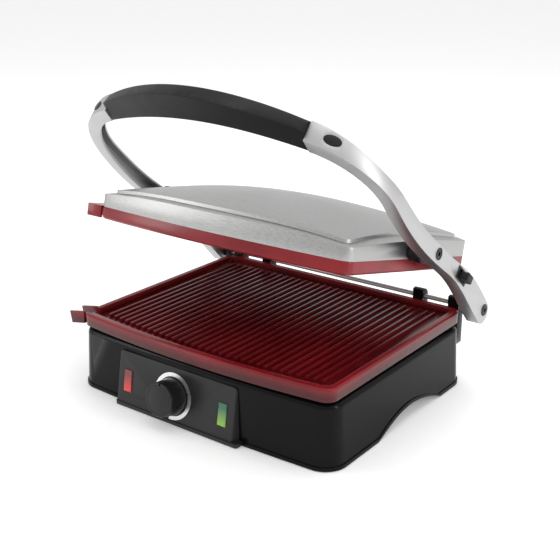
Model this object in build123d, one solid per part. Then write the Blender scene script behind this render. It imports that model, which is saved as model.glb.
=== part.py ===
from build123d import *
import os
from math import atan2, cos, degrees, hypot, radians, sin, sqrt

# A two-plate contact grill. Millimetres, +X right, +Y to the back, +Z up; the origin is on
# the table under the middle of the base. The part is drawn half open, with the lid floating
# above the lower plate on its two arms.

# ---- driving dimensions: plates and base ---------------------------------------------------
PLATE_HALF_W = 155.0       # lower plate, outside of the rim
PLATE_HALF_D = 121.4
PLATE_BOW = 9.8            # how far the middle of the front edge stands out
PLATE_CORNER = 12.0
PLATE_BOTTOM = 67.1
RIM_H = 12.7
RIM_W = 7.0
PLATE_SKIN = 3.4           # thickness of the cooking floor
PLATE_DISH = 6.2           # from the rim's top down to the floor
RIB_H = 3.6
RIB_W = 3.2
RIB_PITCH = 8.6
DRAFT = 0.6                # a rib's top is this much narrower on each side

LID_HALF_W = PLATE_HALF_W - 4.7       # upper plate and lid
LID_HALF_D = PLATE_HALF_D - 5.65
LID_BOW = 11.3
LID_RIM_H = 12.2

BASE_HALF_W = PLATE_HALF_W + 5
BASE_HALF_D = PLATE_HALF_D + 3.6
BASE_BOW = 5.0
BASE_CORNER = 22.0
BASE_FLARE = 3.2           # the walls lean in by this much at the top
BASE_TOP = 64.0
BASE_FLOOR = 0.8           # underside of the walls; the feet reach the table
BASE_WALL = 3.0
BASE_SHOULDER = 6.0        # radius of the shoulder
LIP_H = 3.6
LIP_PROUD = 1.3
OPENING_INSET = 27.0       # opening in the top deck, in from the wall

ARCH_FRONT, ARCH_BACK = -PLATE_HALF_D + 63.4, PLATE_HALF_D - 46.4
ARCH_PEAK_Y, ARCH_H = 10.0, 16.0
COVER_Z = ARCH_H + 1.0     # raised bottom cover, clear of the arches
COVER_T = 2.0
FOOT_R, FOOT_H = 8.0, 5.0
FOOT_X, FOOT_Y = BASE_HALF_W - 42, BASE_HALF_D - 39
COVER_SCREW_X, COVER_SCREW_Y = BASE_HALF_W - 18, BASE_HALF_D - 19

# ---- driving dimensions: control panel -----------------------------------------------------
PANEL_X = -19.0            # middle of the panel
PANEL_W, PANEL_H = 149.0, 54.0
PANEL_FOOT_Y, PANEL_FOOT_Z = -BASE_HALF_D - BASE_BOW - 7.5, 3.5
PANEL_LEAN = 9.9           # degrees, top further back
PANEL_DEPTH = 16.0
PANEL_SPREAD = 7.0         # how much the block widens towards the base
PANEL_WALL = 3.0
PANEL_CORNER = 3.0
KNOB_X, KNOB_UP = -1.5, 25.0
KNOB_R, KNOB_FACE_R, KNOB_H = 18.6, 16.6, 20.0
KNOB_GAP = 0.8
RING_R, RING_W, RING_T = 23.4, 3.8, 0.5
LAMP_X, LAMP_UP = 61.0, 24.6
LENS_W, LENS_H, LENS_PROUD = 10.0, 22.5, 1.2
SPINDLE_R = 3.0

# ---- driving dimensions: hinge, arms and grip ----------------------------------------------
HINGE_Y = PLATE_HALF_D + 4.1
HINGE_Z = PLATE_BOTTOM + RIM_H + 2.8
ARM_ANGLE = 39.8           # degrees above level, from the hinge towards the front
ARM_LENGTH = HINGE_Y + 13.3            # hinge axis to lid pivot
ARM_OUTER, ARM_T = PLATE_HALF_W + 22.7, 13.9
ARM_INNER = ARM_OUTER - ARM_T
ARM_WEB, ARM_FLANGE = 2.4, 2.2
BEND_START, BEND_R = ARM_LENGTH + 96.2, 82.0
GRIP_HALF = ARM_OUTER - 62.7
SHAFT_R, JOURNAL_R = 2.5, 4.0
RUN = 0.05                 # radial running clearance of pins and shafts
GAP = 0.4                  # side clearance between moving pieces
DISC_R = 9.0
SCREW_HEAD_R, SCREW_HEAD_T = 6.0, 2.0

LID_TILT = 13.5            # degrees, front up
LID_PIVOT_Y, LID_PIVOT_Z = -4.2, 22.1
LID_WALL = 1.2
LID_CORNER_Z = 23.5        # top of the skirt at the front corners
LID_BACK_RISE = 4.0        # the back corners stand this much higher
LID_CROWN_X, LID_CROWN_Y = 8.5, 4.0
LID_SWELL = 11.0           # further rise in the middle
PAD_INSET_FRONT, PAD_INSET_SIDE, PAD_RISE = 9.0, 12.0, 3.2
ROCKER_R, ROCKER_STUB_R, PIVOT_PIN_R = 12.0, 5.0, 3.0

SLIDER_U, SLIDER_V = 75.0, 4.5
SLIDER_L, SLIDER_W, SLIDER_PROUD, SLIDER_TRAVEL = 12.0, 8.0, 8.5, 6.0
LATCH_U = 38.0             # near end of the latch rod, from the hinge

os.makedirs("parts", exist_ok=True)
nodes = {}


def add(name, *solids):
    """Keeps one node: one solid, or a group of separate solids."""
    pieces = [s for group in solids for s in group.solids()]
    nodes[name] = pieces[0] if len(pieces) == 1 else Compound(children=pieces)


def bowed(half_w, half_d, bow, corner, z=0.0):
    """A rounded rectangle whose front edge bows outward, on a level plane."""
    with BuildSketch(Plane.XY.offset(z)) as s:
        with BuildLine():
            Polyline((half_w, -half_d), (half_w, half_d), (-half_w, half_d), (-half_w, -half_d))
            ThreePointArc((-half_w, -half_d), (0, -half_d - bow), (half_w, -half_d))
        make_face()
        fillet(s.vertices(), corner)
    return s.sketch


def bowed_block(half_w, half_d, bow, corner, z0, z1):
    return extrude(bowed(half_w, half_d, bow, corner, z0), z1 - z0)


def box(x0, x1, y0, y1, z0, z1):
    return Pos((x0 + x1) / 2, (y0 + y1) / 2, (z0 + z1) / 2) * Box(x1 - x0, y1 - y0, z1 - z0)


def rod_x(r, x0, x1, y=0.0, z=0.0):
    """A cylinder along X."""
    return Pos((x0 + x1) / 2, y, z) * Rot(0, 90, 0) * Cylinder(r, abs(x1 - x0))


def rod_z(r, z0, z1, x=0.0, y=0.0):
    return Pos(x, y, (z0 + z1) / 2) * Cylinder(r, z1 - z0)


def mirrored(solid):
    return mirror(solid, Plane.YZ)


def tube(points, bend, r):
    """A round bar along straight runs joined by arcs."""
    path = FilletPolyline(*points, radius=bend)
    start = Plane(origin=path @ 0, z_dir=path % 0)
    return sweep(start * Circle(r), path)


# ---- base ----------------------------------------------------------------------------------
def base_form(out=0.0, z0=BASE_FLOOR, z1=BASE_TOP):
    """The base's leaning outer form, grown outward by out."""
    low = bowed(BASE_HALF_W + out, BASE_HALF_D + out, BASE_BOW, BASE_CORNER + out, z0)
    high = bowed(BASE_HALF_W - BASE_FLARE + out, BASE_HALF_D - BASE_FLARE + out, BASE_BOW,
                 BASE_CORNER - BASE_FLARE + out, z1)
    return loft([low.face(), high.face()], ruled=True)


def arch(grow=0.0):
    """The opening under each side wall, as a bar across the whole base."""
    with BuildSketch(Plane.YZ) as s:
        with BuildLine():
            Spline((ARCH_FRONT - 1.8 * grow, -1), (ARCH_FRONT + 24, 6.5 + grow),
                   (ARCH_PEAK_Y, ARCH_H + grow), (ARCH_BACK + grow, -1),
                   tangents=[(1, 0.15), (0.85, -0.5)])
            Line((ARCH_BACK + grow, -1), (ARCH_FRONT - 1.8 * grow, -1))
        make_face()
    return extrude(s.sketch, 2 * BASE_HALF_W, both=True)


PANEL = Plane(origin=(PANEL_X, PANEL_FOOT_Y, PANEL_FOOT_Z), x_dir=(1, 0, 0),
              z_dir=(0, -cos(radians(PANEL_LEAN)), sin(radians(PANEL_LEAN))))


def on_panel(x, up, out, shape):
    """Puts a shape drawn about its own Z axis on the panel's face."""
    return PANEL.location * Pos(x, up, out) * shape


def panel_block(inset=0.0):
    with BuildSketch(PANEL.offset(-inset)) as front:
        with Locations((0, PANEL_H / 2)):
            RectangleRounded(PANEL_W - 2 * inset, PANEL_H - 2 * inset, PANEL_CORNER)
    with BuildSketch(PANEL.offset(-PANEL_DEPTH)) as back:
        with Locations((PANEL_SPREAD / 2 - 1, PANEL_H / 2)):
            RectangleRounded(PANEL_W + PANEL_SPREAD - 2 * inset, PANEL_H - 2 * inset, PANEL_CORNER)
    return loft([front.sketch.face(), back.sketch.face()], ruled=True)


outer = base_form()
inner = base_form(-BASE_WALL, BASE_FLOOR - 1, BASE_TOP - BASE_WALL)
shoulder_edges = outer.edges().group_by(Axis.Z)[-1]
outer_round = fillet(shoulder_edges, BASE_SHOULDER)
deck_opening = bowed_block(BASE_HALF_W - OPENING_INSET, BASE_HALF_D - OPENING_INSET, BASE_BOW,
                           14, BASE_TOP - 12, BASE_TOP + 5)
lip = base_form(LIP_PROUD) & (box(-200, 200, -200, 200, 0, BASE_FLOOR + LIP_H) + arch(LIP_H))
SILL_LEFT, SILL_RIGHT = PANEL_X - PANEL_W / 2 - 1.5, PANEL_X + PANEL_W / 2 + PANEL_SPREAD
panel_zone = box(SILL_LEFT - 0.1, SILL_RIGHT + 0.1, -160, -BASE_HALF_D + 8, 0, BASE_FLOOR + LIP_H + 1)
shell = outer_round + (lip - panel_zone)
shell = shell - inner - arch() - deck_opening
window = box(PANEL_X - 66, PANEL_X + 66, -160, -BASE_HALF_D + 12, 12, 50)
shell = shell - window
# four bosses that the bottom cover screws to
for sx in (-1, 1):
    for sy in (-1, 1):
        x, y = sx * COVER_SCREW_X, sy * COVER_SCREW_Y
        shell += rod_z(6, COVER_Z + COVER_T, BASE_TOP - BASE_WALL + 0.5, x, y)
        shell -= rod_z(1.6, COVER_Z, COVER_Z + 16, x, y)
# lugs behind the rear wall that carry the hinge shaft
LUG_FRONT = PLATE_HALF_D + 0.3
for sx in (-1, 1):
    for x0, x1 in ((PLATE_HALF_W - 59, PLATE_HALF_W - 47), (PLATE_HALF_W - 17, PLATE_HALF_W - 5)):
        lug = box(x0, x1, LUG_FRONT, HINGE_Y + 8, BASE_TOP - 26, HINGE_Z)
        lug += rod_x(8, x0, x1, HINGE_Y, HINGE_Z) & box(x0, x1, LUG_FRONT, HINGE_Y + 20, 60, 110)
        lug += box(x0, x1, BASE_HALF_D - 12, HINGE_Y, BASE_TOP - 26, BASE_TOP - 8)
        lug -= inner
        lug -= rod_x(SHAFT_R + RUN, x0 - 1, x1 + 1, HINGE_Y, HINGE_Z)
        shell += lug if sx > 0 else mirrored(lug)
# screw holes through the deck for the plate
STUD_X, STUD_Y = PLATE_HALF_W - 13, 70.0
STUDS = [(sx * STUD_X, sy * STUD_Y) for sx in (-1, 1) for sy in (-1, 1)]
for x, y in STUDS:
    shell -= rod_z(2.2, BASE_TOP - 8, BASE_TOP + 1, x, y)
GLAND_X, GLAND_Z, GLAND_R = -70.0, 36.0, 8.0
shell -= Pos(GLAND_X, BASE_HALF_D - 4, GLAND_Z) * Rot(90, 0, 0) * Cylinder(GLAND_R, 24)
add("base_housing", shell)

cover = bowed_block(BASE_HALF_W - BASE_WALL - 1.4, BASE_HALF_D - BASE_WALL - 1.4, BASE_BOW,
                    BASE_CORNER - BASE_WALL, COVER_Z, COVER_Z + COVER_T)
for sx in (-1, 1):
    for sy in (-1, 1):
        x, y = sx * FOOT_X, sy * FOOT_Y
        cover += rod_z(FOOT_R + 2, FOOT_H - 3, COVER_Z, x, y)
        cover -= rod_z(FOOT_R, 0, FOOT_H, x, y)
        cover -= rod_z(2.0, COVER_Z - 1, COVER_Z + COVER_T + 1, sx * COVER_SCREW_X, sy * COVER_SCREW_Y)
vent = [box(x, x + 3, 20, 70, COVER_Z - 1, COVER_Z + COVER_T + 1) for x in range(-40, 41, 10)]
for slot in vent:
    cover -= slot
add("base_bottom_cover", cover)
add("rubber_feet", *[rod_z(FOOT_R - 0.05, 0, FOOT_H, sx * FOOT_X, sy * FOOT_Y)
                     for sx in (-1, 1) for sy in (-1, 1)])
add("bottom_cover_screws", *[
    rod_z(3.2, COVER_Z - 2, COVER_Z, sx * COVER_SCREW_X, sy * COVER_SCREW_Y)
    + rod_z(1.5, COVER_Z - 1, COVER_Z + 12, sx * COVER_SCREW_X, sy * COVER_SCREW_Y)
    for sx in (-1, 1) for sy in (-1, 1)])

# ---- control panel -------------------------------------------------------------------------
panel = panel_block()
front_edges = [e for e in panel.edges() if PANEL.to_local_coords(e.center()).Z > -0.1]
panel = fillet(front_edges, 1.2)
sill = box(SILL_LEFT, SILL_RIGHT, PANEL_FOOT_Y - 1.2, -BASE_HALF_D, BASE_FLOOR, PANEL_FOOT_Z + 1.0)
sill = fillet(sill.edges().filter_by(Axis.Z).group_by(Axis.Y)[0], 3)
above_floor = box(-200, 200, -200, 0, BASE_FLOOR, 100)
cavity = panel_block(PANEL_WALL) & box(-200, 200, -200, 0, 6, 100)
panel = ((panel + sill) & above_floor) - outer - cavity
panel -= on_panel(KNOB_X, KNOB_UP, 0, Cylinder(SPINDLE_R + 0.8, 60))
for sx in (-1, 1):
    panel -= on_panel(sx * LAMP_X, LAMP_UP, 0, Box(LENS_W, LENS_H, 30))
ring_cut = on_panel(KNOB_X, KNOB_UP, 0, Cylinder(RING_R, 1.2) - Cylinder(RING_R - RING_W, 2))
panel -= ring_cut
add("control_panel", panel)

with BuildSketch() as arc:
    Circle(RING_R)
    Circle(RING_R - RING_W, mode=Mode.SUBTRACT)
    with BuildLine():
        Polyline((0, 0), (-60, -8), (-60, -60), (-6, -60), close=True)
    make_face(mode=Mode.SUBTRACT)
add("dial_scale_ring", on_panel(KNOB_X, KNOB_UP, -0.6, extrude(arc.sketch, 0.6 + RING_T)))


def lens():
    block = Box(LENS_W - 0.1, LENS_H - 0.1, 4 + LENS_PROUD)
    block = fillet(block.edges().group_by(Axis.Z)[-1], 0.9)
    return Pos(0, 0, (LENS_PROUD - 4) / 2) * block


add("power_lamp_lens", on_panel(-LAMP_X, LAMP_UP, 0, lens()))
add("ready_lamp_lens", on_panel(LAMP_X, LAMP_UP, 0, lens()))
add("neon_lamps", *[on_panel(sx * LAMP_X, LAMP_UP, -4, Pos(0, 1, -3.5) * Box(9, 12, 7)
                             + Pos(0, 0, -10) * Cylinder(2.5, 8)) for sx in (-1, 1)])

THERMOSTAT_FRONT = -(PANEL_WALL + 6.0)
thermostat = Pos(0, 2.0, THERMOSTAT_FRONT - 8) * Box(30, 13, 16)
thermostat += Pos(0, 0, THERMOSTAT_FRONT + 3) * Cylinder(5, 6)
thermostat -= Pos(0, 0, THERMOSTAT_FRONT) * Cylinder(SPINDLE_R + RUN, 26)
add("thermostat_body", on_panel(KNOB_X, KNOB_UP, 0, thermostat))

spindle_top = KNOB_GAP + 12.0
spindle_low = THERMOSTAT_FRONT - 11.0
spindle = Pos(0, 0, (spindle_top + spindle_low) / 2) * Cylinder(SPINDLE_R, spindle_top - spindle_low)
add("thermostat_spindle", on_panel(KNOB_X, KNOB_UP, 0, spindle))

knob = Pos(0, 0, KNOB_GAP + (KNOB_H - KNOB_GAP) / 2) * Cone(KNOB_R, KNOB_FACE_R, KNOB_H - KNOB_GAP)
knob = fillet(knob.edges().group_by(Axis.Z)[-1], 1.2)
knob -= Pos(0, 0, KNOB_GAP + 7) * Cylinder(KNOB_FACE_R - 3, 14)
knob += Pos(0, 0, KNOB_GAP + 8.5) * Cylinder(SPINDLE_R + 3, 15)
knob -= Pos(0, 0, KNOB_GAP + 6) * Cylinder(SPINDLE_R, 12)
knob -= Pos(0, 0, KNOB_H) * Cylinder(KNOB_FACE_R - 2.2, 1.2)
knob -= Pos(0, KNOB_FACE_R, KNOB_H) * Box(1.8, 7, 3)
add("temperature_knob", on_panel(KNOB_X, KNOB_UP, 0, knob))
add("knob_face_cap", on_panel(KNOB_X, KNOB_UP, KNOB_H - 0.3, Cylinder(KNOB_FACE_R - 2.3, 0.6)))


# ---- plates --------------------------------------------------------------------------------
def grill_plate(half_w, half_d, bow, rim_h):
    """A cast plate with its cooking side up, its underside at z = 0."""
    floor_top = rim_h - PLATE_DISH
    plate = bowed_block(half_w, half_d, bow, PLATE_CORNER, 0, rim_h)
    plate = chamfer(plate.edges().group_by(Axis.Z)[-1], 1.6)
    inside = (half_w - RIM_W, half_d - RIM_W, bow, PLATE_CORNER - 4)
    plate -= bowed_block(*inside, floor_top, rim_h + 1)
    plate -= bowed_block(*inside, -1, floor_top - PLATE_SKIN)
    field = bowed_block(half_w - RIM_W - 6, half_d - RIM_W - 12, bow, 3, floor_top - 1, rim_h)
    count = int((2 * half_w - 2 * RIM_W - 16) / RIB_PITCH)
    with BuildSketch(Plane.XZ) as profile:
        for i in range(count):
            x, w, top = (i - (count - 1) / 2) * RIB_PITCH, RIB_W / 2, RIB_W / 2 - DRAFT
            with BuildLine():
                Polyline((x - w, floor_top - 0.5), (x + w, floor_top - 0.5),
                         (x + top, floor_top + RIB_H), (x - top, floor_top + RIB_H), close=True)
            make_face()
    ribs = extrude(profile.sketch, half_d + bow, both=True) & field
    return plate + ribs


SPOUT_L, SPOUT_W, SPOUT_WALL = 19.0, 20.0, 2.4


def spout(half_w, half_d, rim_h, droop):
    """A drain channel out of the left side at the front corner."""
    y0 = -half_d + 1.2
    channel = box(-SPOUT_L, RIM_W + 3, y0, y0 + SPOUT_W, 0, rim_h)
    channel = fillet(channel.edges().filter_by(Axis.Z).group_by(Axis.X)[0], 1.5)
    hollow = box(-SPOUT_L - 2, RIM_W + 5, y0 + SPOUT_WALL, y0 + SPOUT_W - SPOUT_WALL,
                 SPOUT_WALL, rim_h + 2)
    turn = Pos(-half_w, 0, 0) * Rot(0, -droop, 0)
    return turn * channel, turn * hollow


def with_spout(plate, half_w, half_d, rim_h, droop):
    channel, hollow = spout(half_w, half_d, rim_h, droop)
    outside = box(-400, -half_w + 1, -400, 400, -50, 100)
    hollow_cut = hollow & box(-400, 400, -400, 400, rim_h - PLATE_DISH, 100)
    return (plate + (channel & outside)) - hollow_cut - (hollow & outside)


lower_plate = with_spout(grill_plate(PLATE_HALF_W, PLATE_HALF_D, PLATE_BOW, RIM_H),
                         PLATE_HALF_W, PLATE_HALF_D, RIM_H, 11)
PLATE_BACK = RIM_H - PLATE_DISH - PLATE_SKIN
for x, y in STUDS:
    lower_plate += rod_z(4.5, PLATE_BACK - 2, PLATE_BACK + 1, x, y)
    lower_plate -= rod_z(1.8, PLATE_BACK - 3, PLATE_BACK + 2, x, y)
add("lower_grill_plate", Pos(0, 0, PLATE_BOTTOM) * lower_plate)
stud_top = PLATE_BOTTOM + PLATE_BACK - 2
add("plate_spacers", *[rod_z(4.5, BASE_TOP, stud_top, x, y) - rod_z(1.9, 0, 100, x, y)
                       for x, y in STUDS])
add("lower_plate_screws", *[
    rod_z(3.4, BASE_TOP - BASE_WALL - 2, BASE_TOP - BASE_WALL, x, y)
    + rod_z(1.7, BASE_TOP - BASE_WALL - 1, stud_top + 3.5, x, y) for x, y in STUDS])

SHEET = 0.8
PAN_FLOOR = 50.0


def pan(inset, z0, z1):
    return bowed_block(BASE_HALF_W - inset, BASE_HALF_D - inset, BASE_BOW, 14, z0, z1)


PAN_INSET = OPENING_INSET + 0.5
PAN_FLANGE = 4.2
reflector = pan(PAN_INSET, PAN_FLOOR, BASE_TOP + SHEET) + pan(PAN_INSET - PAN_FLANGE, BASE_TOP, BASE_TOP + SHEET)
reflector -= pan(PAN_INSET + SHEET, PAN_FLOOR + SHEET, BASE_TOP + 2)
ELEMENT_R, ELEMENT_BEND = 3.3, 9.0
COLD_X, COLD_Y = 30.0, 70.0
for sx in (-1, 1):
    reflector -= rod_z(ELEMENT_R + 1, PAN_FLOOR - 1, PAN_FLOOR + 2, sx * COLD_X, COLD_Y)
add("lower_heat_reflector", reflector)


def element(z_run, z_end, half_w, half_d):
    """A sheathed heater: one loop under the plate, its two cold ends turned away from it."""
    return tube([(-COLD_X, COLD_Y, z_end), (-COLD_X, COLD_Y, z_run), (-half_w, COLD_Y, z_run),
                 (-half_w, -half_d, z_run), (half_w, -half_d, z_run), (half_w, COLD_Y, z_run),
                 (COLD_X, COLD_Y, z_run), (COLD_X, COLD_Y, z_end)], ELEMENT_BEND, ELEMENT_R)


element_z = PLATE_BOTTOM + PLATE_BACK - ELEMENT_R
add("lower_heating_element", element(element_z, PAN_FLOOR - 8, 100, 78))

terminal = box(20, 64, 20, 40, COVER_Z + COVER_T, COVER_Z + COVER_T + 14)
for i in range(3):
    terminal -= rod_z(3, COVER_Z + 10, COVER_Z + 20, 28 + 14 * i, 30)
add("terminal_block", terminal)
add("lower_thermal_fuse", Pos(0, 0, PAN_FLOOR - 4) * Rot(0, 90, 0) * Cylinder(4, 26))
gland = Rot(90, 0, 0) * (Cylinder(GLAND_R + 3, 3) + Pos(0, 0, 5) * Cylinder(GLAND_R - 0.05, 12)
                         - Cylinder(3.6, 60))
GLAND_Y = BASE_HALF_D - BASE_FLARE * GLAND_Z / BASE_TOP + 2.3
add("cord_gland", Pos(GLAND_X, GLAND_Y, GLAND_Z) * gland)

# ---- hinge knuckle -------------------------------------------------------------------------
DISC_IN = PLATE_HALF_W + 0.5
DISC_OUT = ARM_INNER - GAP
HEAD_IN = ARM_OUTER - SCREW_HEAD_T
shaft = rod_x(SHAFT_R, -DISC_IN, DISC_IN, HINGE_Y, HINGE_Z)
for sx in (-1, 1):
    shaft += rod_x(JOURNAL_R, sx * DISC_IN, sx * (HEAD_IN + 0.3), HINGE_Y, HINGE_Z)
add("hinge_shaft", shaft)
disc = rod_x(DISC_R, DISC_IN, DISC_OUT, HINGE_Y, HINGE_Z) - rod_x(JOURNAL_R, DISC_IN - 1, DISC_OUT + 1, HINGE_Y, HINGE_Z)
disc -= box(DISC_IN - 1, DISC_OUT + 1, HINGE_Y - 2, HINGE_Y + 2, HINGE_Z + DISC_R - 2.2, HINGE_Z + 20)
add("lock_discs", disc, mirrored(disc))


def socket_head(x0, y, z):
    """A round screw head facing +X with a hexagon socket and a turned groove."""
    head = rod_x(SCREW_HEAD_R, x0, x0 + SCREW_HEAD_T + 0.3, y, z)
    face = Plane(origin=(x0 + SCREW_HEAD_T + 0.3, y, z), x_dir=(0, 1, 0), z_dir=(1, 0, 0))
    head -= extrude(face * RegularPolygon(2.6, 6), -1.6)
    groove = Circle(5.0) - Circle(4.0)
    return head - extrude(face * groove, -0.5)


hinge_head = socket_head(HEAD_IN + 0.3, HINGE_Y, HINGE_Z)
add("hinge_end_screws", hinge_head, mirrored(hinge_head))

# ---- arms and grip: drawn level, hinge axis at the origin, then raised ----------------------
HANDLE = Location((0, HINGE_Y, HINGE_Z), (-ARM_ANGLE, 0, 0))
HINGE_TOP = [(0, 9), (35, 13.6), (63, 14.6), (104, 10.2)]             # (distance from the hinge, height)
HINGE_LOW = [(4, -15), (23, -12.7), (54, -8), (88, -5.2)]
PIVOT_TOP = [(4, 7.2), (46, 5.5), (82, 7.6), (111, 10.6), (135, 14.4), (159, 21.6), (183, 30.5)]
PIVOT_LOW = [(-11, -8.4), (26, -10.8), (51, -10.5), (92, -6.1), (117, -1.5), (148, 3.6), (185, 10.5)]
ARM_TOP = [(-u, v) for u, v in HINGE_TOP] + [(-ARM_LENGTH - u, v) for u, v in PIVOT_TOP]
ARM_LOW = [(-u, v) for u, v in HINGE_LOW] + [(-ARM_LENGTH - u, v) for u, v in PIVOT_LOW]


def arm_side(inset=0.0):
    """The arm's side view. Inset, it is the hollow between the flanges."""
    top = [(y, z - inset) for y, z in ARM_TOP]
    low = [(y, z + inset) for y, z in ARM_LOW]
    if inset:
        top, low = top[1:-1], low[1:-1]
    with BuildSketch(Plane.YZ) as s:
        with BuildLine():
            Spline(*top)
            Line(top[-1], low[-1])
            Spline(*low)
            if inset:
                Line(low[0], top[0])
            else:
                ThreePointArc(low[0], (11, -3.5), top[0])
        make_face()
    return extrude(s.sketch, ARM_OUTER + 10)


def arm_plan(outside, inside, end_x):
    """The right arm's strip seen from above, between two distances from the middle."""
    cx = ARM_OUTER - BEND_R
    r1, r2 = outside - cx, inside - cx
    turn1 = degrees(atan2(sqrt(r1 ** 2 - (end_x - cx) ** 2), end_x - cx))
    turn2 = degrees(atan2(sqrt(r2 ** 2 - (end_x - cx) ** 2), end_x - cx))
    with BuildSketch() as s:
        with BuildLine():
            a = CenterArc((cx, -BEND_START), r1, 0, -turn1)
            b = CenterArc((cx, -BEND_START), r2, 0, -turn2)
            Line(a @ 1, b @ 1)
            Polyline(a @ 0, (outside, 30), (inside, 30), b @ 0)
        make_face()
    return Pos(0, 0, -60) * extrude(s.sketch, 150)


ARM_END_X = GRIP_HALF + 0.2
envelope = arm_side() & arm_plan(ARM_OUTER, ARM_INNER, ARM_END_X)
hollow = arm_side(ARM_FLANGE) & arm_plan(ARM_OUTER - ARM_WEB, ARM_INNER - 3, ARM_END_X + 9)
hollow -= box(0, ARM_OUTER, -16, 40, -30, 30)
bosses = rod_x(8, ARM_INNER, ARM_OUTER, -ARM_LENGTH, 0)
arm = (envelope - hollow) + (bosses & envelope)


def bored_arm(solid):
    beyond = ARM_OUTER + 5
    solid -= rod_x(JOURNAL_R + RUN, ARM_INNER - 5, beyond)
    solid -= rod_x(SCREW_HEAD_R + 0.35, HEAD_IN, beyond)
    solid -= rod_x(PIVOT_PIN_R, ARM_INNER - 5, beyond, -ARM_LENGTH)
    return solid - rod_x(SCREW_HEAD_R, HEAD_IN, beyond, -ARM_LENGTH)


PLUG_TURN, PLUG_V = 60.0, 16.6
plug_at = Location((ARM_OUTER - BEND_R, -BEND_START, PLUG_V), (0, 0, -PLUG_TURN))
plug = plug_at * extrude(Plane(origin=(BEND_R - 1.6, 0, 0), x_dir=(0, 1, 0), z_dir=(1, 0, 0))
                         * Ellipse(8.0, 4.6), 2.1)
arm = bored_arm(arm) - plug
left_arm = mirrored(arm)

slot_l = SLIDER_L + SLIDER_TRAVEL + 0.8
slot_y = -SLIDER_U - SLIDER_TRAVEL / 2
BEZEL_IN = ARM_OUTER - 1.3
bezel_box = box(BEZEL_IN, ARM_OUTER + 0.7, slot_y - slot_l / 2 - 3, slot_y + slot_l / 2 + 3,
                SLIDER_V - SLIDER_W / 2 - 2.4, SLIDER_V + SLIDER_W / 2 + 2.4)
slot = box(ARM_INNER + 3, ARM_OUTER + 5, slot_y - slot_l / 2, slot_y + slot_l / 2,
           SLIDER_V - SLIDER_W / 2 - 0.4, SLIDER_V + SLIDER_W / 2 + 0.4)
right_arm = arm - bezel_box - slot
bezel = fillet(bezel_box.edges().group_by(Axis.X)[-1], 0.6) - slot
add("left_arm", HANDLE * left_arm)
add("right_arm", HANDLE * right_arm)
add("slider_bezel", HANDLE * bezel)
add("oval_plugs", HANDLE * plug, HANDLE * mirrored(plug))

slider_foot_x = ARM_OUTER - ARM_WEB - GAP
slider = box(slider_foot_x - 1, ARM_OUTER + SLIDER_PROUD, -SLIDER_U - SLIDER_L / 2,
             -SLIDER_U + SLIDER_L / 2, SLIDER_V - SLIDER_W / 2, SLIDER_V + SLIDER_W / 2)
slider = fillet(slider.edges().group_by(Axis.X)[-1], 1.2)
slider += box(slider_foot_x - 3, slider_foot_x, -SLIDER_U - SLIDER_L / 2 - 1,
              -SLIDER_U + SLIDER_L / 2 + 1, SLIDER_V - 5, SLIDER_V + 5)
add("release_slider", HANDLE * slider)
rod_x0 = slider_foot_x - 5
latch = Pos(rod_x0, -(SLIDER_U + LATCH_U) / 2, SLIDER_V) * Rot(90, 0, 0) * Cylinder(1.6, SLIDER_U - LATCH_U)
latch += box(rod_x0 - 1.6, slider_foot_x - 3, -SLIDER_U - 3, -SLIDER_U + 3, SLIDER_V - 2, SLIDER_V + 2)
add("latch_rod", HANDLE * latch)

pivot_screw = socket_head(HEAD_IN, -ARM_LENGTH, 0)
pivot_screw += rod_x(PIVOT_PIN_R, LID_HALF_W - 6.8, HEAD_IN, -ARM_LENGTH)
add("lid_pivot_screws", HANDLE * pivot_screw, HANDLE * mirrored(pivot_screw))

# Grip corners, as (distance past the lid pivot, height) at the middle and at the ends.
GRIP_MID = {"low": (180, 9), "ridge": (215, 13.5), "top": (206, 30.5), "back": (180, 27), "seam": (178, 17)}
GRIP_END = {"low": (161, 5.6), "ridge": (182, 13), "top": (178, 28), "back": (161, 22.5), "seam": (160, 13)}
CORE_MID, CORE_END = (194, 21), (170, 18)
STATIONS = [-1.0, -0.55, 0.0, 0.55, 1.0]


def along_grip(middle, end, t):
    (u0, v0), (u1, v1) = middle, end
    return (-ARM_LENGTH - u0 - (u1 - u0) * t * t, v0 + (v1 - v0) * t * t)


def grip_corner(name, t):
    return along_grip(GRIP_MID[name], GRIP_END[name], t)


def grip_loft(corners, radii):
    sections = []
    for t in STATIONS:
        with BuildSketch(Plane.YZ.offset(t * GRIP_HALF)) as s:
            with BuildLine():
                Polyline(*[grip_corner(c, t) for c in corners], close=True)
            make_face()
            for corner, r in radii.items():
                y, z = grip_corner(corner, t)
                near = min(s.vertices(), key=lambda v: hypot(v.X - y, v.Y - z))
                fillet(near, r)
        sections.append(s.sketch.face())
    return loft(sections)


def bar_loft():
    sections = []
    for t in STATIONS:
        y, z = along_grip(CORE_MID, CORE_END, t)
        sections.append((Plane.YZ.offset(t * GRIP_HALF) * Pos(y, z) * Rectangle(9, 5)).face())
    return loft(sections)


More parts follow.
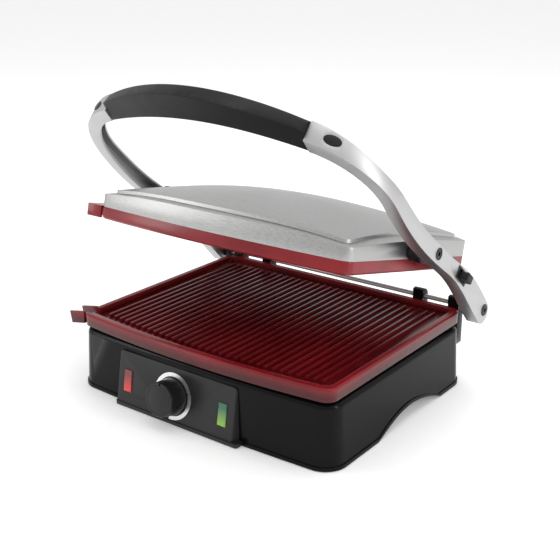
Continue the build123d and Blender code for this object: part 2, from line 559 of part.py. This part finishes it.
core = bar_loft()
grip_screws, screw_room = [], []
for x in (27 - GRIP_HALF, -30, 30, GRIP_HALF - 27):
    y, z = along_grip(CORE_MID, CORE_END, x / GRIP_HALF)
    wall = grip_corner("back", x / GRIP_HALF)[0]
    along = Pos(x, wall, z) * Rot(90, 0, 0)
    shank = along * Pos(0, 0, (wall - y + 5) / 2) * Cylinder(1.5, wall - y - 1)
    grip_screws.append(shank + along * Pos(0, 0, 3) * Cylinder(2.8, 2))
    screw_room.append(shank + along * Cylinder(2.8, 8))
upper_grip = grip_loft(["seam", "ridge", "top", "back"], {"top": 5, "back": 5}) - core
lower_grip = grip_loft(["low", "ridge", "seam"], {"low": 2.5}) - core
for s in screw_room:
    upper_grip -= s
    lower_grip -= s
    core -= s
add("grip_upper_shell", HANDLE * upper_grip)
add("grip_lower_shell", HANDLE * lower_grip)
add("grip_core_bar", HANDLE * core)
add("grip_screws", *[HANDLE * s for s in grip_screws])

# ---- lid: drawn level, its origin in the middle of the upper plate's lower face -------------
pivot_y = HINGE_Y - ARM_LENGTH * cos(radians(ARM_ANGLE))
pivot_z = HINGE_Z + ARM_LENGTH * sin(radians(ARM_ANGLE))
tilt = radians(LID_TILT)
LID = Location((0, pivot_y - LID_PIVOT_Y * cos(tilt) - LID_PIVOT_Z * sin(tilt),
                pivot_z + LID_PIVOT_Y * sin(tilt) - LID_PIVOT_Z * cos(tilt)), (-LID_TILT, 0, 0))


def dome(rise, drop=0.0):
    """A solid under a surface crowned both ways; rise lifts it, drop lowers it."""
    sections = []
    reach_y = LID_HALF_D + LID_BOW + 4
    for k in (-1.1, -0.85, -0.55, 0, 0.55, 0.85, 1.1):
        edge = LID_CORNER_Z + rise - drop + LID_CROWN_X * (1 - abs(k) ** 2.5)
        crown = LID_CROWN_Y + LID_SWELL * (1 - k * k)
        front = (-reach_y, edge - 0.2 * crown)
        back = (reach_y, edge - 0.2 * crown + LID_BACK_RISE)
        with BuildSketch(Plane.YZ.offset(k * LID_HALF_W)) as s:
            with BuildLine():
                ThreePointArc(front, (0, edge + LID_BACK_RISE / 2 + crown), back)
                Polyline(back, (reach_y, -20), (-reach_y, -20), front)
            make_face()
        sections.append(s.sketch.face())
    return loft(sections)


def pad_outline(inset):
    """The raised pad: bowed front, straight back, sides pulled in where the pivots are."""
    w, d = LID_HALF_W - PAD_INSET_FRONT - inset, LID_HALF_D - PAD_INSET_FRONT - inset
    waist = LID_HALF_W - PAD_INSET_SIDE - inset
    with BuildSketch() as s:
        with BuildLine():
            Line((w, d), (-w, d))
            ThreePointArc((-w, d), (-waist, 0), (-w, -d))
            ThreePointArc((-w, -d), (0, -d - LID_BOW), (w, -d))
            ThreePointArc((w, -d), (waist, 0), (w, d))
        make_face()
        fillet(s.vertices(), 9)
    return s.sketch


def lid_form(t):
    """The lid's outside (t = 0), or its inside at wall thickness t."""
    skirt = bowed_block(LID_HALF_W - t, LID_HALF_D - t, LID_BOW, PLATE_CORNER - t, LID_RIM_H - t, 60)
    pad = extrude(pad_outline(t), 60)
    return (skirt & dome(0, t)) + (pad & skirt & dome(PAD_RISE, t))


cover = lid_form(0) - lid_form(LID_WALL)
for sx in (-1, 1):
    cover -= rod_x(ROCKER_STUB_R + 0.6, sx * (LID_HALF_W - 20), sx * (LID_HALF_W + 10), LID_PIVOT_Y, LID_PIVOT_Z)
add("lid_cover", LID * cover)

upper_plate = with_spout(grill_plate(LID_HALF_W, LID_HALF_D, LID_BOW, LID_RIM_H),
                         LID_HALF_W, LID_HALF_D, LID_RIM_H, 0)
upper_plate = mirror(upper_plate, Plane.XY.offset(LID_RIM_H / 2))
add("upper_grill_plate", LID * upper_plate)

UPPER_BACK = PLATE_DISH + PLATE_SKIN
FRAME_Z, FRAME_T = UPPER_BACK + 2 * ELEMENT_R + 2.4, 1.8
upper_reflector = bowed_block(LID_HALF_W - 12, LID_HALF_D - 12, LID_BOW, 8, LID_RIM_H, FRAME_Z - 1)
upper_reflector -= bowed_block(LID_HALF_W - 13, LID_HALF_D - 13, LID_BOW, 7, 0, FRAME_Z - 1 - SHEET)
lid_frame = bowed_block(LID_HALF_W - 1.4, LID_HALF_D - 1.4, LID_BOW, PLATE_CORNER - 1, FRAME_Z,
                        FRAME_Z + FRAME_T)
lid_frame -= box(-70, 70, -50, 50, FRAME_Z - 1, FRAME_Z + FRAME_T + 1)
for sx in (-1, 1):
    hole = box(min(sx * (COLD_X - 5), sx * (COLD_X + 11)), max(sx * (COLD_X - 5), sx * (COLD_X + 11)),
               COLD_Y - 5, COLD_Y + 5, FRAME_Z - 4, FRAME_Z + 4)
    lid_frame -= hole
    upper_reflector -= hole
BRACKET_IN, BRACKET_OUT = LID_HALF_W - 11, LID_HALF_W - 1.7
bracket = box(BRACKET_IN, BRACKET_OUT, LID_PIVOT_Y - 9, LID_PIVOT_Y + 9, FRAME_Z - 1, LID_PIVOT_Z + 5.4)
bracket += box(BRACKET_IN - 24, BRACKET_IN, LID_PIVOT_Y - 9, LID_PIVOT_Y + 9, FRAME_Z + FRAME_T,
               FRAME_Z + FRAME_T + 2)
bracket -= rod_x(ROCKER_STUB_R + RUN, BRACKET_IN - 1, BRACKET_OUT + 1, LID_PIVOT_Y, LID_PIVOT_Z)
for sx in (-1, 1):
    notch = box(BRACKET_IN - 0.4, LID_HALF_W, LID_PIVOT_Y - 9.4, LID_PIVOT_Y + 9.4, FRAME_Z - 2, FRAME_Z + 6)
    lid_frame -= notch if sx > 0 else mirrored(notch)
LID_SCREWS = [(sx * 96, sy * 84) for sx in (-1, 1) for sy in (-1, 1)]
for x, y in LID_SCREWS:
    lid_frame += rod_z(4.5, FRAME_Z - 1, FRAME_Z, x, y)
    hole = rod_z(1.9, UPPER_BACK, 60, x, y)
    lid_frame -= hole
    upper_reflector -= hole
add("upper_heat_reflector", LID * upper_reflector)
add("lid_frame", LID * lid_frame)
add("lid_pivot_brackets", LID * bracket, LID * mirrored(bracket))
add("upper_heating_element", LID * element(UPPER_BACK + ELEMENT_R, FRAME_Z + 4, 84, 70))
add("upper_plate_screws", *[LID * (rod_z(1.7, UPPER_BACK, FRAME_Z + FRAME_T + 0.5, x, y)
                                   + rod_z(3.4, FRAME_Z + FRAME_T, FRAME_Z + FRAME_T + 2, x, y))
                            for x, y in LID_SCREWS])
add("upper_thermal_fuse", LID * Pos(0, 60, FRAME_Z + FRAME_T + 3) * Rot(0, 90, 0) * Cylinder(3, 26))

rocker = rod_x(ROCKER_R, LID_HALF_W + 0.6, ARM_INNER - GAP, LID_PIVOT_Y, LID_PIVOT_Z)
rocker = fillet(rocker.edges().group_by(Axis.X)[0], 1.0)
rocker += rod_x(ROCKER_STUB_R, LID_HALF_W - 9.3, LID_HALF_W + 1, LID_PIVOT_Y, LID_PIVOT_Z)
rocker -= rod_x(PIVOT_PIN_R + RUN, LID_HALF_W - 20, ARM_INNER, LID_PIVOT_Y, LID_PIVOT_Z)
add("lid_rockers", LID * rocker, LID * mirrored(rocker))

for name, shape in nodes.items():
    export_step(shape, f"parts/{name}.step")
print(len(nodes), "nodes")
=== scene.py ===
import bpy, bmesh, math
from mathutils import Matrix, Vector


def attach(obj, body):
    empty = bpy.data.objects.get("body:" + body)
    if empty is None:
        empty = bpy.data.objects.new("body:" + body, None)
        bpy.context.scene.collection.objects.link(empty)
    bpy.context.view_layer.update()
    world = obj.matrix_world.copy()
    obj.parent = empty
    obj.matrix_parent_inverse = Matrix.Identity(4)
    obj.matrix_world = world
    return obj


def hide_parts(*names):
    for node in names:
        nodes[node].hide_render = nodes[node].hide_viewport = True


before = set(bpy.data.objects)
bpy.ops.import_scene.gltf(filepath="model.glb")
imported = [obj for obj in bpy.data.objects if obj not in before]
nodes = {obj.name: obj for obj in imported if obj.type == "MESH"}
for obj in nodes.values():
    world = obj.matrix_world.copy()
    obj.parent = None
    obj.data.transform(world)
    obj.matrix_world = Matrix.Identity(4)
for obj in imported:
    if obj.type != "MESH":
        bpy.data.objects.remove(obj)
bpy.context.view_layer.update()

# ---- Camera, floor and light -----------------------------------------------------------------
# A white table top that runs up into a white room, one big soft lamp overhead and a tall soft
# box on each side, whose reflections stand as upright bands on the gloss of the base.
CAMERA_AT = Vector((0.5807, -0.7634, 0.4571))
LOOK_TURN, LOOK_DOWN = math.radians(36.82), math.radians(19.72)
camera = bpy.data.objects.new("camera", bpy.data.cameras.new("camera"))
camera.data.lens, camera.data.sensor_width = 63.92, 36.0
camera.data.clip_start, camera.data.clip_end = 0.05, 20.0
camera.location = CAMERA_AT
camera.rotation_euler = (math.pi / 2 - LOOK_DOWN, 0.0, LOOK_TURN)
bpy.context.scene.collection.objects.link(camera)
bpy.context.scene.camera = camera
bpy.context.scene.view_settings.view_transform = "Standard"


def piece(name, mesh):
    """A new object holding a mesh, in the scene."""
    obj = bpy.data.objects.new(name, mesh)
    bpy.context.scene.collection.objects.link(obj)
    return obj


floor_mesh = bpy.data.meshes.new("floor")
FLOOR_HALF = 6.0
corners = [(-FLOOR_HALF, -FLOOR_HALF, 0), (FLOOR_HALF, -FLOOR_HALF, 0),
           (FLOOR_HALF, FLOOR_HALF, 0), (-FLOOR_HALF, FLOOR_HALF, 0)]
floor_mesh.from_pydata(corners, [], [(0, 1, 2, 3)])
floor = piece("floor", floor_mesh)
floor_paint = bpy.data.materials.new("white table")
floor_paint.use_nodes = True
floor_shader = floor_paint.node_tree.nodes["Principled BSDF"]
floor_shader.inputs["Base Color"].default_value = (0.93, 0.93, 0.93, 1)
floor_shader.inputs["Roughness"].default_value = 0.6
floor_shader.inputs["Emission Color"].default_value = (1, 1, 1, 1)
floor_shader.inputs["Emission Strength"].default_value = 0.16
floor_mesh.materials.append(floor_paint)

room = bpy.data.worlds.new("white room")
room.use_nodes = True
room.node_tree.nodes["Background"].inputs["Color"].default_value = (1, 1, 1, 1)
room.node_tree.nodes["Background"].inputs["Strength"].default_value = 0.8
bpy.context.scene.world = room


def soft_box(name, at, aim, width, height, watts):
    """A rectangular lamp that faces the point it aims at."""
    lamp = bpy.data.lights.new(name, "AREA")
    lamp.shape, lamp.size, lamp.size_y, lamp.energy = "RECTANGLE", width, height, watts
    obj = bpy.data.objects.new(name, lamp)
    obj.location = at
    obj.rotation_euler = (Vector(aim) - Vector(at)).to_track_quat("-Z", "Y").to_euler()
    bpy.context.scene.collection.objects.link(obj)


soft_box("overhead lamp", (0.1, 0.3, 1.9), (0, 0, 0.1), 1.6, 1.2, 16)
soft_box("left lamp", (-1.5, -1.3, 0.8), (0, 0, 0.12), 0.35, 1.3, 7)
soft_box("right lamp", (1.9, 0.1, 0.9), (0, 0, 0.12), 0.45, 1.4, 10)


# ---- Helpers -----------------------------------------------------------------------------------
# Materials are built from plain values and a grain in the piece's own coordinates. A machined or
# moulded node that shows its edges is replaced by its own form with those edges rounded.
def finish_of(name, colour, roughness, metallic=0.0):
    """A material with its plain values set; returns it, its nodes' tree and its shader."""
    mat = bpy.data.materials.new(name)
    mat.use_nodes = True
    shader = mat.node_tree.nodes["Principled BSDF"]
    shader.inputs["Base Color"].default_value = (*colour, 1)
    shader.inputs["Roughness"].default_value = roughness
    shader.inputs["Metallic"].default_value = metallic
    return mat, mat.node_tree, shader


def grain(tree, scale, stretch=(1, 1, 1), detail=4.0):
    """A noise that runs through the piece in its own coordinates; stretch draws it out."""
    coords = tree.nodes.new("ShaderNodeTexCoord")
    mapping = tree.nodes.new("ShaderNodeMapping")
    mapping.inputs["Scale"].default_value = stretch
    noise = tree.nodes.new("ShaderNodeTexNoise")
    noise.inputs["Scale"].default_value = scale
    noise.inputs["Detail"].default_value = detail
    tree.links.new(coords.outputs["Object"], mapping.inputs["Vector"])
    tree.links.new(mapping.outputs["Vector"], noise.inputs["Vector"])
    return noise.outputs["Fac"]


def bump_from(tree, shader, height, strength, depth):
    """Fine relief of the surface, taken from a grain."""
    bump = tree.nodes.new("ShaderNodeBump")
    bump.inputs["Strength"].default_value = strength
    bump.inputs["Distance"].default_value = depth
    tree.links.new(height, bump.inputs["Height"])
    tree.links.new(bump.outputs["Normal"], shader.inputs["Normal"])


def vary_roughness(tree, shader, source, low, high):
    """Roughness that wanders between two values with a grain."""
    spread = tree.nodes.new("ShaderNodeMapRange")
    spread.inputs["From Min"].default_value = 0.3
    spread.inputs["From Max"].default_value = 0.7
    spread.inputs["To Min"].default_value = low
    spread.inputs["To Max"].default_value = high
    tree.links.new(source, spread.inputs["Value"])
    tree.links.new(spread.outputs["Result"], shader.inputs["Roughness"])


def vary_colour(tree, shader, source, dark, light):
    """Colour that wanders between two shades with a grain."""
    ramp = tree.nodes.new("ShaderNodeValToRGB")
    ramp.color_ramp.elements[0].position, ramp.color_ramp.elements[1].position = 0.3, 0.7
    ramp.color_ramp.elements[0].color = (*dark, 1)
    ramp.color_ramp.elements[1].color = (*light, 1)
    tree.links.new(source, ramp.inputs["Fac"])
    tree.links.new(ramp.outputs["Color"], shader.inputs["Base Color"])


def dress(names, mat):
    """Gives each named node one material."""
    for name in names:
        mesh = nodes[name].data
        mesh.materials.clear()
        mesh.materials.append(mat)


WELD = 2e-6             # points closer than this are one point
FLAT_TURN = 0.4         # faces that turn less than this are one flat face


def softened(node, body, mat, width, turn=32.0, segments=3):
    """Stands for a machined or moulded node: the same form with its sharp edges rounded off."""
    mesh = nodes[node].data.copy()
    bm = bmesh.new()
    bm.from_mesh(mesh)
    bmesh.ops.remove_doubles(bm, verts=bm.verts, dist=WELD)
    bmesh.ops.dissolve_limit(bm, angle_limit=math.radians(FLAT_TURN),
                             verts=bm.verts, edges=bm.edges)
    bm.to_mesh(mesh)
    bm.free()
    mesh.materials.clear()
    mesh.materials.append(mat)
    obj = piece(node + "_finished", mesh)
    bevel = obj.modifiers.new("broken edges", "BEVEL")
    bevel.width, bevel.segments, bevel.limit_method = width, segments, "ANGLE"
    bevel.angle_limit = math.radians(turn)
    bevel.use_clamp_overlap = True
    bevel.harden_normals = False
    bevelled = obj.evaluated_get(bpy.context.evaluated_depsgraph_get())
    mesh_done = bpy.data.meshes.new_from_object(bevelled)
    obj.modifiers.clear()
    obj.data = mesh_done
    smooth(mesh_done)
    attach(obj, body)
    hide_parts(node)
    return obj


def smooth(mesh, turn=30.0):
    mesh.polygons.foreach_set("use_smooth", [True] * len(mesh.polygons))
    mesh.set_sharp_from_angle(angle=math.radians(turn))


# ---- Base housing ------------------------------------------------------------------------------
# One black moulding, polished in its tool, with a bead round the foot and a soft shoulder under
# the plate. It stands on four rubber feet and its edges are all slightly broken.
gloss_black, tree, shader = finish_of("gloss black moulding", (0.003, 0.003, 0.0035), 0.2)
shader.inputs["Specular IOR Level"].default_value = 0.12
bump_from(tree, shader, grain(tree, 420, detail=2), 0.05, 0.0002)
vary_roughness(tree, shader, grain(tree, 26), 0.16, 0.25)
softened("base_housing", "base", gloss_black, 0.0009)

satin_black, tree, shader = finish_of("satin black moulding", (0.006, 0.006, 0.0065), 0.45)
shader.inputs["Specular IOR Level"].default_value = 0.3
bump_from(tree, shader, grain(tree, 1600, detail=3), 0.18, 0.0002)
vary_roughness(tree, shader, grain(tree, 30), 0.38, 0.52)
dress(["base_bottom_cover", "cord_gland", "lock_discs"], satin_black)

rubber, tree, shader = finish_of("foot rubber", (0.025, 0.025, 0.025), 0.85)
bump_from(tree, shader, grain(tree, 900), 0.3, 0.0003)
dress(["rubber_feet"], rubber)

# ---- Control panel -----------------------------------------------------------------------------
# A satin block screwed to the front of the base, with a dial ring let into its face and two
# clear lenses over the neon lamps.
panel_grey, tree, shader = finish_of("panel moulding", (0.014, 0.014, 0.015), 0.42)
shader.inputs["Specular IOR Level"].default_value = 0.35
bump_from(tree, shader, grain(tree, 2200, detail=3), 0.12, 0.00015)
vary_roughness(tree, shader, grain(tree, 40), 0.36, 0.46)
softened("control_panel", "base", panel_grey, 0.0006)

silver, tree, shader = finish_of("silvered ring", (0.74, 0.74, 0.75), 0.3, 1.0)
vary_roughness(tree, shader, grain(tree, 300), 0.25, 0.38)
dress(["dial_scale_ring"], silver)


def height_share(tree, low, high):
    """How far up a point lies between two heights of the rest pose, from 0 to 1."""
    coords = tree.nodes.new("ShaderNodeTexCoord")
    split = tree.nodes.new("ShaderNodeSeparateXYZ")
    share = tree.nodes.new("ShaderNodeMapRange")
    share.inputs["From Min"].default_value = low
    share.inputs["From Max"].default_value = high
    tree.links.new(coords.outputs["Object"], split.inputs["Vector"])
    tree.links.new(split.outputs["Z"], share.inputs["Value"])
    return share.outputs["Result"]


def lens_glass(name, lit_foot_colour, shaded_top_colour, glow, strength, foot, top):
    """Ribbed glass whose colour is painted light at its foot and painted shade towards its top
    edge.
    """
    mat, tree, shader = finish_of(name, lit_foot_colour, 0.12)
    shader.inputs["Transmission Weight"].default_value = 0.25
    shader.inputs["Coat Weight"].default_value = 0.4
    shader.inputs["Emission Color"].default_value = (*glow, 1)
    shader.inputs["Emission Strength"].default_value = strength
    ribs = tree.nodes.new("ShaderNodeTexWave")
    ribs.bands_direction = "X"
    ribs.inputs["Scale"].default_value = 260.0
    coords = tree.nodes.new("ShaderNodeTexCoord")
    tree.links.new(coords.outputs["Object"], ribs.inputs["Vector"])
    bump_from(tree, shader, ribs.outputs["Fac"], 0.25, 0.0004)
    # Painted light and shade: the base colour runs from the lit foot colour up to the shaded top
    # colour by height.
    shade = tree.nodes.new("ShaderNodeValToRGB")
    shade.color_ramp.elements[0].position, shade.color_ramp.elements[1].position = 0.1, 0.8
    shade.color_ramp.elements[0].color = (*lit_foot_colour, 1)
    shade.color_ramp.elements[1].color = (*shaded_top_colour, 1)
    tree.links.new(height_share(tree, foot, top), shade.inputs["Fac"])
    tree.links.new(shade.outputs["Color"], shader.inputs["Base Color"])
    return mat


LENSES = {              # painted lit foot colour, painted shaded top colour, glow colour, glow strength
    "power_lamp_lens": ((0.75, 0.03, 0.02), (0.1, 0.006, 0.01), (0.8, 0.02, 0.01), 0.1),
    "ready_lamp_lens": ((0.3, 0.55, 0.06), (0.01, 0.12, 0.08), (0.1, 0.5, 0.05), 0.04)}
for lens, (lit_foot_colour, shaded_top_colour, glow, strength) in LENSES.items():
    heights = [point.co.z for point in nodes[lens].data.vertices]
    name = "red lens" if lens == "power_lamp_lens" else "green lens"
    dress([lens], lens_glass(name, lit_foot_colour, shaded_top_colour, glow, strength,
                             min(heights), max(heights)))

lamp_white, tree, shader = finish_of("white insulation", (0.72, 0.7, 0.64), 0.6)
vary_colour(tree, shader, grain(tree, 60), (0.66, 0.63, 0.56), (0.78, 0.76, 0.7))
dress(["neon_lamps", "terminal_block", "lower_thermal_fuse", "upper_thermal_fuse"], lamp_white)

# ---- Temperature knob --------------------------------------------------------------------------
# A hollow moulded knob on the thermostat's spindle, with a turned face cap and a pointer notch.
knob_black, tree, shader = finish_of("knob moulding", (0.006, 0.006, 0.0065), 0.33)
shader.inputs["Specular IOR Level"].default_value = 0.35
bump_from(tree, shader, grain(tree, 1800), 0.1, 0.00015)
vary_roughness(tree, shader, grain(tree, 50), 0.28, 0.4)
softened("temperature_knob", "knob", knob_black, 0.0004)
softened("knob_face_cap", "knob", knob_black, 0.0002)

# ---- Grill plates ------------------------------------------------------------------------------
# Cast aluminium with ribs across the food, coated with a glossy red enamel; shade is painted into
# its colour, darker down between the ribs and full colour towards the rim.
enamel, tree, shader = finish_of("red enamel", (0.2, 0.008, 0.012), 0.26)
shader.inputs["Specular IOR Level"].default_value = 0.3
shader.inputs["Coat Weight"].default_value = 0.15
shader.inputs["Coat Roughness"].default_value = 0.12
vary_colour(tree, shader, grain(tree, 18), (0.16, 0.004, 0.008), (0.26, 0.012, 0.017))
RIM_TOP = max(point.co.z for point in nodes["lower_grill_plate"].data.vertices)
SHADE_DEPTH = 0.009      # from the rim down to where the painted shade is darkest
MIX_A, MIX_B, MIX_RESULT = 6, 7, 2      # the colour sockets of a mix node
# Painted shade: the enamel colour is multiplied darker the further a point lies below the rim.
painted_shade_mix = tree.nodes.new("ShaderNodeMix")
painted_shade_mix.data_type, painted_shade_mix.blend_type = "RGBA", "MULTIPLY"
painted_shade_mix.inputs["Factor"].default_value = 1.0
painted_shade_ramp = tree.nodes.new("ShaderNodeValToRGB")
painted_shade_ramp.color_ramp.elements[0].color = (0.3, 0.22, 0.25, 1)
painted_shade_ramp.color_ramp.elements[1].color = (1, 1, 1, 1)
tree.links.new(height_share(tree, RIM_TOP - SHADE_DEPTH, RIM_TOP), painted_shade_ramp.inputs["Fac"])
enamel_colour = shader.inputs["Base Color"].links[0].from_socket
tree.links.new(enamel_colour, painted_shade_mix.inputs[MIX_A])
tree.links.new(painted_shade_ramp.outputs["Color"], painted_shade_mix.inputs[MIX_B])
tree.links.new(painted_shade_mix.outputs[MIX_RESULT], shader.inputs["Base Color"])
bump_from(tree, shader, grain(tree, 260, detail=3), 0.12, 0.0004)
softened("lower_grill_plate", "base", enamel, 0.0008)
softened("upper_grill_plate", "lid", enamel, 0.0008)

# ---- Lid cover ---------------------------------------------------------------------------------
# Pressed from one sheet of stainless steel and brushed from side to side; the pad in the middle
# stands up behind a step.
brushed, tree, shader = finish_of("brushed stainless", (0.42, 0.42, 0.415), 0.33, 1.0)
strokes = grain(tree, 60, stretch=(1.0, 60.0, 60.0), detail=6)
vary_roughness(tree, shader, strokes, 0.26, 0.42)
vary_colour(tree, shader, strokes, (0.32, 0.32, 0.317), (0.5, 0.5, 0.496))
bump_from(tree, shader, strokes, 0.12, 0.00008)
shader.inputs["Anisotropic"].default_value = 0.5
softened("lid_cover", "lid", brushed, 0.0014)

# ---- Arms and screws ---------------------------------------------------------------------------
# Two die-cast arms, hollow towards the lid, bead-blasted and clear coated; dark socket screws
# hold them at the hinge and at the lid.
arm_metal, tree, shader = finish_of("satin aluminium", (0.5, 0.5, 0.505), 0.42, 1.0)
vary_roughness(tree, shader, grain(tree, 35), 0.38, 0.46)
bump_from(tree, shader, grain(tree, 1500, detail=3), 0.06, 0.0001)
softened("left_arm", "handle", arm_metal, 0.0012)
softened("right_arm", "handle", arm_metal, 0.0012)

dark_steel, tree, shader = finish_of("blackened steel", (0.05, 0.05, 0.052), 0.35, 1.0)
vary_roughness(tree, shader, grain(tree, 200), 0.28, 0.45)
dress(["hinge_end_screws", "lid_pivot_screws", "grip_screws"], dark_steel)
steel, tree, shader = finish_of("plain steel", (0.5, 0.5, 0.5), 0.35, 1.0)
vary_roughness(tree, shader, grain(tree, 120, stretch=(8, 1, 1)), 0.28, 0.45)
dress(["hinge_shaft", "bottom_cover_screws", "plate_spacers", "lower_plate_screws",
       "thermostat_body", "thermostat_spindle", "grip_core_bar", "latch_rod",
       "lid_pivot_brackets", "upper_plate_screws"], steel)

# ---- Release slider, its surround, plugs and lid rockers ---------------------------------------
# Small satin black mouldings clipped into the arms and turned on the lid's pivots.
for small, body in (("slider_bezel", "handle"), ("oval_plugs", "handle"),
                    ("release_slider", "slider"), ("lid_rockers", "lid")):
    softened(small, body, satin_black, 0.0004)

# ---- Grip --------------------------------------------------------------------------------------
# Two satin shells clamped round a steel bar; they meet in a ridge along the front.
grip_black, tree, shader = finish_of("grip moulding", (0.004, 0.004, 0.0045), 0.36)
shader.inputs["Specular IOR Level"].default_value = 0.14
bump_from(tree, shader, grain(tree, 1900, detail=3), 0.14, 0.00015)
vary_roughness(tree, shader, grain(tree, 22), 0.34, 0.46)
softened("grip_upper_shell", "handle", grip_black, 0.0009)
softened("grip_lower_shell", "handle", grip_black, 0.0009)

# ---- Heaters and sheet metal inside ------------------------------------------------------------
# Folded aluminised pans behind each plate and sheathed heating elements, blued by use.
sheet, tree, shader = finish_of("aluminised sheet", (0.58, 0.58, 0.57), 0.38, 1.0)
vary_roughness(tree, shader, grain(tree, 15), 0.3, 0.5)
dress(["lower_heat_reflector", "upper_heat_reflector"], sheet)
heater, tree, shader = finish_of("heater sheath", (0.2, 0.19, 0.18), 0.5, 1.0)
vary_colour(tree, shader, grain(tree, 25), (0.12, 0.11, 0.13), (0.3, 0.27, 0.22))
dress(["lower_heating_element", "upper_heating_element"], heater)
dress(["lid_frame"], satin_black)
for name, obj in nodes.items():
    smooth(obj.data)
